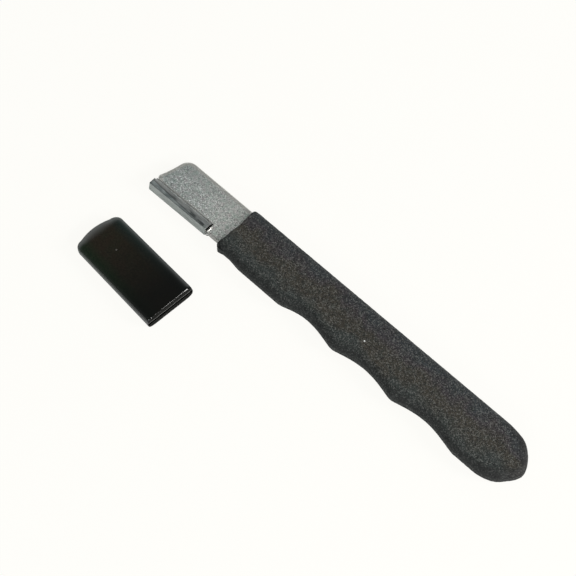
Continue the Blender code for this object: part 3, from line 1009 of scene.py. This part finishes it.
def build_braze(placement):
    """Silver braze: a sunken line of solder along the bar, turning down across its inner end."""
    wall = 0.02 * MM
    near_bar = BAR_SEAM - wall
    near_end = BAR_END_GAP - wall
    front = BAR_END_GAP + BAR_LENGTH - 0.35 * MM
    outer_side = BLADE_WIDTH - NOTCH_WALL + 0.05 * MM
    corners = [
        (wall, wall), (front, wall), (front, near_bar), (near_end, near_bar), (near_end, outer_side),
        (wall, outer_side), (wall, wall),
    ]
    outline = resample([notch_point(*corner) for corner in corners], 0.12 * MM)[:-1]
    low = (NOTCH_START - 1.0 * MM, NOTCH_WALL)
    high = (BLADE_REACH, BLADE_WIDTH + 0.5 * MM)
    plan = fill_plan(outline, [0.05 * MM, 0.12 * MM], [(low, high, 0.13 * MM)])
    points = plan[0]
    along, across = in_notch_frame(points)
    lumps = grain([(x, y, 0.0) for x, y in points], 1.3 * MM, 4)
    at_wall = np.minimum(across - wall, near_bar - across)
    seam_top = PLATE_HIGH - SEAM_SINK + 0.05 * MM * lumps
    seam_top += SEAM_CLIMB * np.clip(1 - at_wall / SEAM_CLIMB_REACH, 0, 1)
    end_top = PLATE_HIGH - END_SINK + 0.1 * MM * lumps
    end_top += END_RISE * smooth_step((across - outer_side + 0.9 * MM) / (0.7 * MM))
    at_end = smooth_step((near_end + 0.1 * MM - along) / (0.2 * MM))
    top = seam_top * (1 - at_end) + end_top * at_end
    vertices, faces = slab(plan, top, 2 * MID_HEIGHT - top, 4)
    flux = np.clip(0.75 + 0.9 * lumps, 0.3, 1.0) * (1 - at_end)
    flux = over_slab(flux, len(vertices), 0.5)
    # painted shade across the bar's inner end and in a faint line along the notch wall; burnt flux
    # stains the bead below
    scorched = at_end * np.clip(1.0 - 0.8 * smooth_step((across - 2.2 * MM) / (0.5 * MM)), 0, 1)
    scorched = np.maximum(scorched, 0.12 * smooth_step(1.2 - across / (0.14 * MM)))
    scorched = over_slab(scorched, len(vertices), 0.5)
    for place, radii, stain in ((RIDGE_PLACE, RIDGE_RADII, 0.0), (BEAD_PLACE, BEAD_RADII, 0.5)):
        lump, lump_faces = solder_lump(place, radii)
        first = len(vertices)
        vertices = np.vstack([vertices, lump])
        faces += [tuple(first + index for index in face) for face in lump_faces]
        flux = np.append(flux, np.full(len(lump), stain))
        scorched = np.append(scorched, np.full(len(lump), stain))
    mesh = make_mesh("braze_seam", vertices, faces)
    add_attributes(mesh, flux=flux, scorched=scorched)
    make_piece("braze_seam", mesh, placement, braze_material(), "tool")


def build_grip(placement):
    """Dipped coating: flat broad sides, rounded long edges, sandy all over, fitted round the steel."""
    spacing = 0.34 * MM
    open_line = uneven_butt(grip_plan(0.0, 0.0, 0.0))
    front_spine = open_line[0]
    front_finger = open_line[-1]
    finger_corner = fillet(open_line[-6], front_finger, front_spine, GRIP_CORNER_RADIUS, 8)
    spine_corner = fillet(front_finger, front_spine, open_line[1], GRIP_CORNER_RADIUS, 8)
    kept = [point for point in open_line[1:] if point[0] < -GRIP_CORNER_RADIUS]
    sides = resample([spine_corner[-1]] + kept + [finger_corner[0]], spacing)
    front = dented(resample(finger_corner + spine_corner, spacing))
    outline = beaded(sides + front[1:-1], front_finger)
    depths = [0.04 * MM] + round_depths(GRIP_EDGE_RADIUS, 8)
    low = (-GRIP_LENGTH, -SPINE_COAT)
    plan = fill_plan(outline, depths, [(low, (0.0, CREST_WIDTH), spacing)])
    points = plan[0]

    ahead = 10 * MM
    side_line = [(ahead, front_spine[1])] + open_line + [(ahead, front_finger[1])]
    drop = rounded_drop(distance_to(points, side_line), GRIP_EDGE_RADIUS, GRIP_EDGE_RADIUS)
    drop += rounded_drop(distance_to(points, front), GRIP_LIP_RADIUS, GRIP_LIP_RADIUS)
    half = GRIP_THICKNESS / 2 - drop
    vertices, faces = slab(plan, MID_HEIGHT + half, MID_HEIGHT - half, 5)
    mesh = make_mesh("grip", vertices, faces)
    relief = grain(vertices, 0.8 * MM, 2) + 0.5 * grain(vertices, 0.5 * MM, 3)
    move_along_normals(mesh, (relief - relief.max()) * SAND_RELIEF)
    inset = distance_to(points, side_line)
    at_finger = smooth_step(points[:, 1] / CREST_WIDTH)
    at_butt = smooth_step((BUTT_SHADE_START - GRIP_LENGTH - vertices[:, 0]) / BUTT_SHADE_RUN)
    # painted shade inside the long edges, stronger toward the finger side, and in a wider band all round
    # near the butt
    grime = smooth_step((EDGE_SHADE_REACH - inset) / EDGE_SHADE_FADE) * (0.27 + 0.43 * at_finger)
    grime = over_slab(grime, len(vertices), 0.3)
    butt_grime = smooth_step((BUTT_SHADE_REACH - inset) / BUTT_SHADE_FADE)
    butt_grime = over_slab(butt_grime, len(vertices), 1.0)
    across = (vertices[:, 1] + SPINE_COAT) / (CREST_WIDTH + SPINE_COAT)
    add_attributes(mesh, grime=grime + (butt_grime - grime) * at_butt, across=across)

    tang = resample(grip_plan(SPINE_COAT, FINGER_COAT, FINGER_COAT, 24, 60), 4 * MM)
    tang += [(1.0 * MM, BLADE_WIDTH), (1.0 * MM, 0.0)]
    sections = []
    for level in (PLATE_LOW - 0.02 * MM, PLATE_HIGH + 0.02 * MM):
        sections.append([(x, y, level) for x, y in counterclockwise(tang)])
    mesh = cut_mesh(mesh, make_mesh("pocket", *loft(sections)))
    material = dipped_material(placement @ Vector(FLECK_PLACE))
    make_piece("grip", mesh, placement, material, "tool")


def build_cap_slot():
    """Body of the cap's cavity: a pinched, flared mouth that opens out inside."""
    sections = []
    stations = [(-0.6 * MM, CAP_SLOT_FLARE)]
    flare_steps = 6
    for step in range(flare_steps + 1):
        angle = math.pi / 2 * step / flare_steps
        stations.append((CAP_SLOT_FLARE * (1 - math.cos(angle)), CAP_SLOT_FLARE * (1 - math.sin(angle))))
    runs = 12
    for run in range(1, runs + 1):
        stations.append((CAP_SLOT_FLARE + (CAP_CAVITY_DEPTH - CAP_SLOT_FLARE) * run / runs, 0.0))
    for x, flare in stations:
        opened = float(smooth_step((x - 1.0 * MM) / (7.0 * MM)))
        height = CAP_SLOT_HEIGHT + (CAP_CAVITY_HEIGHT - CAP_SLOT_HEIGHT) * opened
        thinned = 1 - CAP_TAPER * max(x, 0.0) / CAP_LENGTH
        half_height = height / 2 * thinned + flare
        half_width = CAP_SLOT_WIDTH / 2 + flare
        centre = CAP_SLOT_LEVEL * (1 - opened) + CAP_THICKNESS / 2 * thinned * opened
        radius = half_height * 0.95
        corners = [
            (-half_width, centre - half_height), (half_width, centre - half_height),
            (half_width, centre + half_height), (-half_width, centre + half_height),
        ]
        profile = rounded_profile(corners, radius, 8)
        sections.append([(x, y, z) for y, z in profile])
    return loft(sections)


def paint_mouth(mesh, placement):
    """Give the cap's cut face, and its cavity as far as it can be seen, their own finish, painted black
    as shade in the slot.
    """
    mesh.materials.append(cut_material())
    inward = (placement.to_3x3() @ Vector((1.0, 0.0, 0.0))).normalized()
    to_cap = placement.inverted()
    for face in mesh.polygons:
        place = to_cap @ face.center
        below = place.z < CAP_SLOT_LEVEL
        at_mouth = place.x < CAP_CUT_REACH and (below or face.normal.dot(inward) < -CAP_CUT_FACING)
        in_width = abs(place.y) < CAP_SLOT_WIDTH / 2 + CAP_SLOT_FLARE
        in_height = abs(place.z - CAP_THICKNESS / 2) < 0.34 * CAP_THICKNESS
        if at_mouth or (in_width and in_height and place.x < 0.7 * CAP_LENGTH):
            face.material_index = 1


def build_cap(placement):
    """Slip-on vinyl cap: soft rounded edges, a sloping closed end and a pinched mouth."""
    spacing = 0.45 * MM
    open_line = resample(cap_plan(), spacing)
    mouth = resample([open_line[-1], open_line[0]], 0.15 * MM)
    outline = open_line + mouth[1:-1]
    depths = (0.03, 0.08, 0.14, 0.2, 0.26, 0.33, 0.4, 0.5, 0.62, 0.78, 1.0, 1.35, 1.75)
    depths = [depth * MM for depth in depths]
    half_width = CAP_WIDTH / 2
    plan = fill_plan(outline, depths, [((0.0, -half_width), (CAP_LENGTH, half_width), spacing)])
    points = plan[0]

    side_line = [(-10 * MM, -half_width)] + open_line + [(-10 * MM, half_width)]
    drop = rounded_drop(distance_to(points, side_line), CAP_EDGE_REACH, CAP_EDGE_RADIUS, CAP_EDGE_POWER)
    to_mouth = distance_to(points, mouth)
    half = CAP_THICKNESS / 2 - drop
    thinned = 1 - CAP_TAPER * points[:, 0] / CAP_LENGTH
    centre = CAP_THICKNESS / 2
    nose = CAP_NOSE_DROP * smooth_step(1 - (CAP_LENGTH - points[:, 0]) / CAP_NOSE_REACH)
    small_lip, large_lip = CAP_UPPER_LIP
    lip = small_lip + (large_lip - small_lip) * smooth_step(0.5 - points[:, 1] / CAP_WIDTH)
    top = (centre + half - rounded_drop(to_mouth, lip, lip)) * thinned - nose
    bottom = (centre - half + rounded_drop(to_mouth, CAP_LOWER_LIP, CAP_LOWER_LIP)) * thinned
    vertices, faces = slab(plan, np.maximum(top, bottom + CAP_LEAST_HEIGHT), bottom, 6)
    mesh = make_mesh("cap", vertices, faces)
    add_attributes(mesh, along=vertices[:, 0] / CAP_LENGTH, across=vertices[:, 1] / CAP_WIDTH + 0.5)
    mesh = cut_mesh(mesh, make_mesh("slot", *build_cap_slot()))
    material = glossy_material(placement @ Vector(SPECK_PLACE))
    make_piece("cap", mesh, placement, material, "cap")
    paint_mouth(mesh, placement)


# ---- stage

def make_world():
    """Room that is dark overhead and brighter low down beyond the tip, though seen as plain white."""
    world = bpy.data.worlds.new("studio")
    bpy.context.scene.world = world
    world.use_nodes = True
    nodes = Nodes(world.node_tree)
    nodes.tree.nodes.clear()
    outward = nodes.add('ShaderNodeTexCoord').outputs["Generated"]
    upward = nodes.against('DOT_PRODUCT', outward, (0.0, 0.0, 1.0))
    low_down = nodes.ramp(upward, 0.9, 0.25, 0.0, ROOM_LOW - ROOM_HIGH, 'SMOOTHSTEP')
    beyond_tip = nodes.against('DOT_PRODUCT', outward, BEYOND_TIP)
    beyond_tip = nodes.ramp(beyond_tip, -0.2, 0.9, 0.03, 1.0, 'SMOOTHSTEP')
    strength = nodes.math('ADD', nodes.math('MULTIPLY', low_down, beyond_tip), ROOM_HIGH)
    room = nodes.add('ShaderNodeBackground', {"Color": ROOM_COLOUR, "Strength": strength})
    backdrop = nodes.add('ShaderNodeBackground', {"Color": PALE})
    nodes.send_out(room, backdrop, 'ShaderNodeOutputWorld')


def make_floor():
    """Pale table, bright to the eye, with only a faint shadow where the pieces touch it."""
    mesh = bpy.data.meshes.new("floor")
    corners = ((-1, -1), (1, -1), (1, 1), (-1, 1))
    mesh.from_pydata([(x * FLOOR_HALF, y * FLOOR_HALF, 0) for x, y in corners], [], [(0, 1, 2, 3)])
    floor = add_object("floor", mesh)
    floor.location.z = cad_box[0].z - 0.02 * MM
    material = bpy.data.materials.new("pale_table")
    material.use_nodes = True
    nodes = Nodes(material.node_tree)
    nodes.tree.nodes.clear()
    paper = nodes.add('ShaderNodeBsdfDiffuse', {"Color": (0.8, 0.8, 0.79)})
    faint = nodes.add('ShaderNodeBsdfDiffuse', {"Color": (0.05, 0.05, 0.05)})
    glow = nodes.add('ShaderNodeEmission', {"Color": PALE, "Strength": FLOOR_GLOW})
    bright = nodes.add('ShaderNodeAddShader', {0: faint.outputs[0], 1: glow.outputs[0]})
    nodes.send_out(paper, bright, 'ShaderNodeOutputMaterial')
    mesh.materials.append(material)


def add_softbox(name, direction, distance, size, power, colour, target):
    """Rectangular soft light that faces the target."""
    light = bpy.data.lights.new(name, 'AREA')
    light.shape = 'RECTANGLE'
    light.size = size[0]
    light.size_y = size[1]
    light.energy = power
    light.color = colour
    lamp = add_object(name, light)
    lamp.location = target + Vector(direction).normalized() * distance
    lamp.rotation_euler = (target - lamp.location).to_track_quat('-Z', 'Y').to_euler()


def make_lights(target):
    """Three soft lights: two low ones beyond the butt, and a broad one on the finger side."""
    add_softbox("right_box", (-0.84, -0.38, 0.46), 0.9, (0.28, 0.36), 8.0, (1.0, 0.99, 0.97), target)
    add_softbox("right_spot", (-0.86, 0.12, 0.5), 1.0, (0.14, 0.14), 4.0, (1.0, 1.0, 1.0), target)
    add_softbox("near_box", (-0.35, 0.85, 0.55), 1.1, (0.7, 0.35), 5.0, (0.97, 1.0, 1.0), target)


def make_camera(target):
    """Camera above the table on the finger side, looking down toward the tip and the spine."""
    heading = Vector((*CAMERA_HEADING, 0.0)).normalized()
    outward = -heading * math.cos(CAMERA_ELEVATION) + Vector((0.0, 0.0, math.sin(CAMERA_ELEVATION)))
    camera = bpy.data.cameras.new("camera")
    camera.sensor_width = 36.0
    camera.lens = CAMERA_LENS
    camera.clip_start = 0.01
    eye = add_object("camera", camera)
    eye.location = target + outward * CAMERA_DISTANCE
    eye.rotation_euler = (-outward).to_track_quat('-Z', 'Y').to_euler()
    bpy.context.scene.camera = eye


tool = tool_placement()
target = tool @ Vector(CAMERA_TARGET)
build_blade(tool)
build_bar(tool)
build_braze(tool)
build_grip(tool)
build_cap(cap_placement())
make_world()
make_floor()
make_lights(target)
make_camera(target)
bpy.context.scene.view_settings.view_transform = 'Standard'
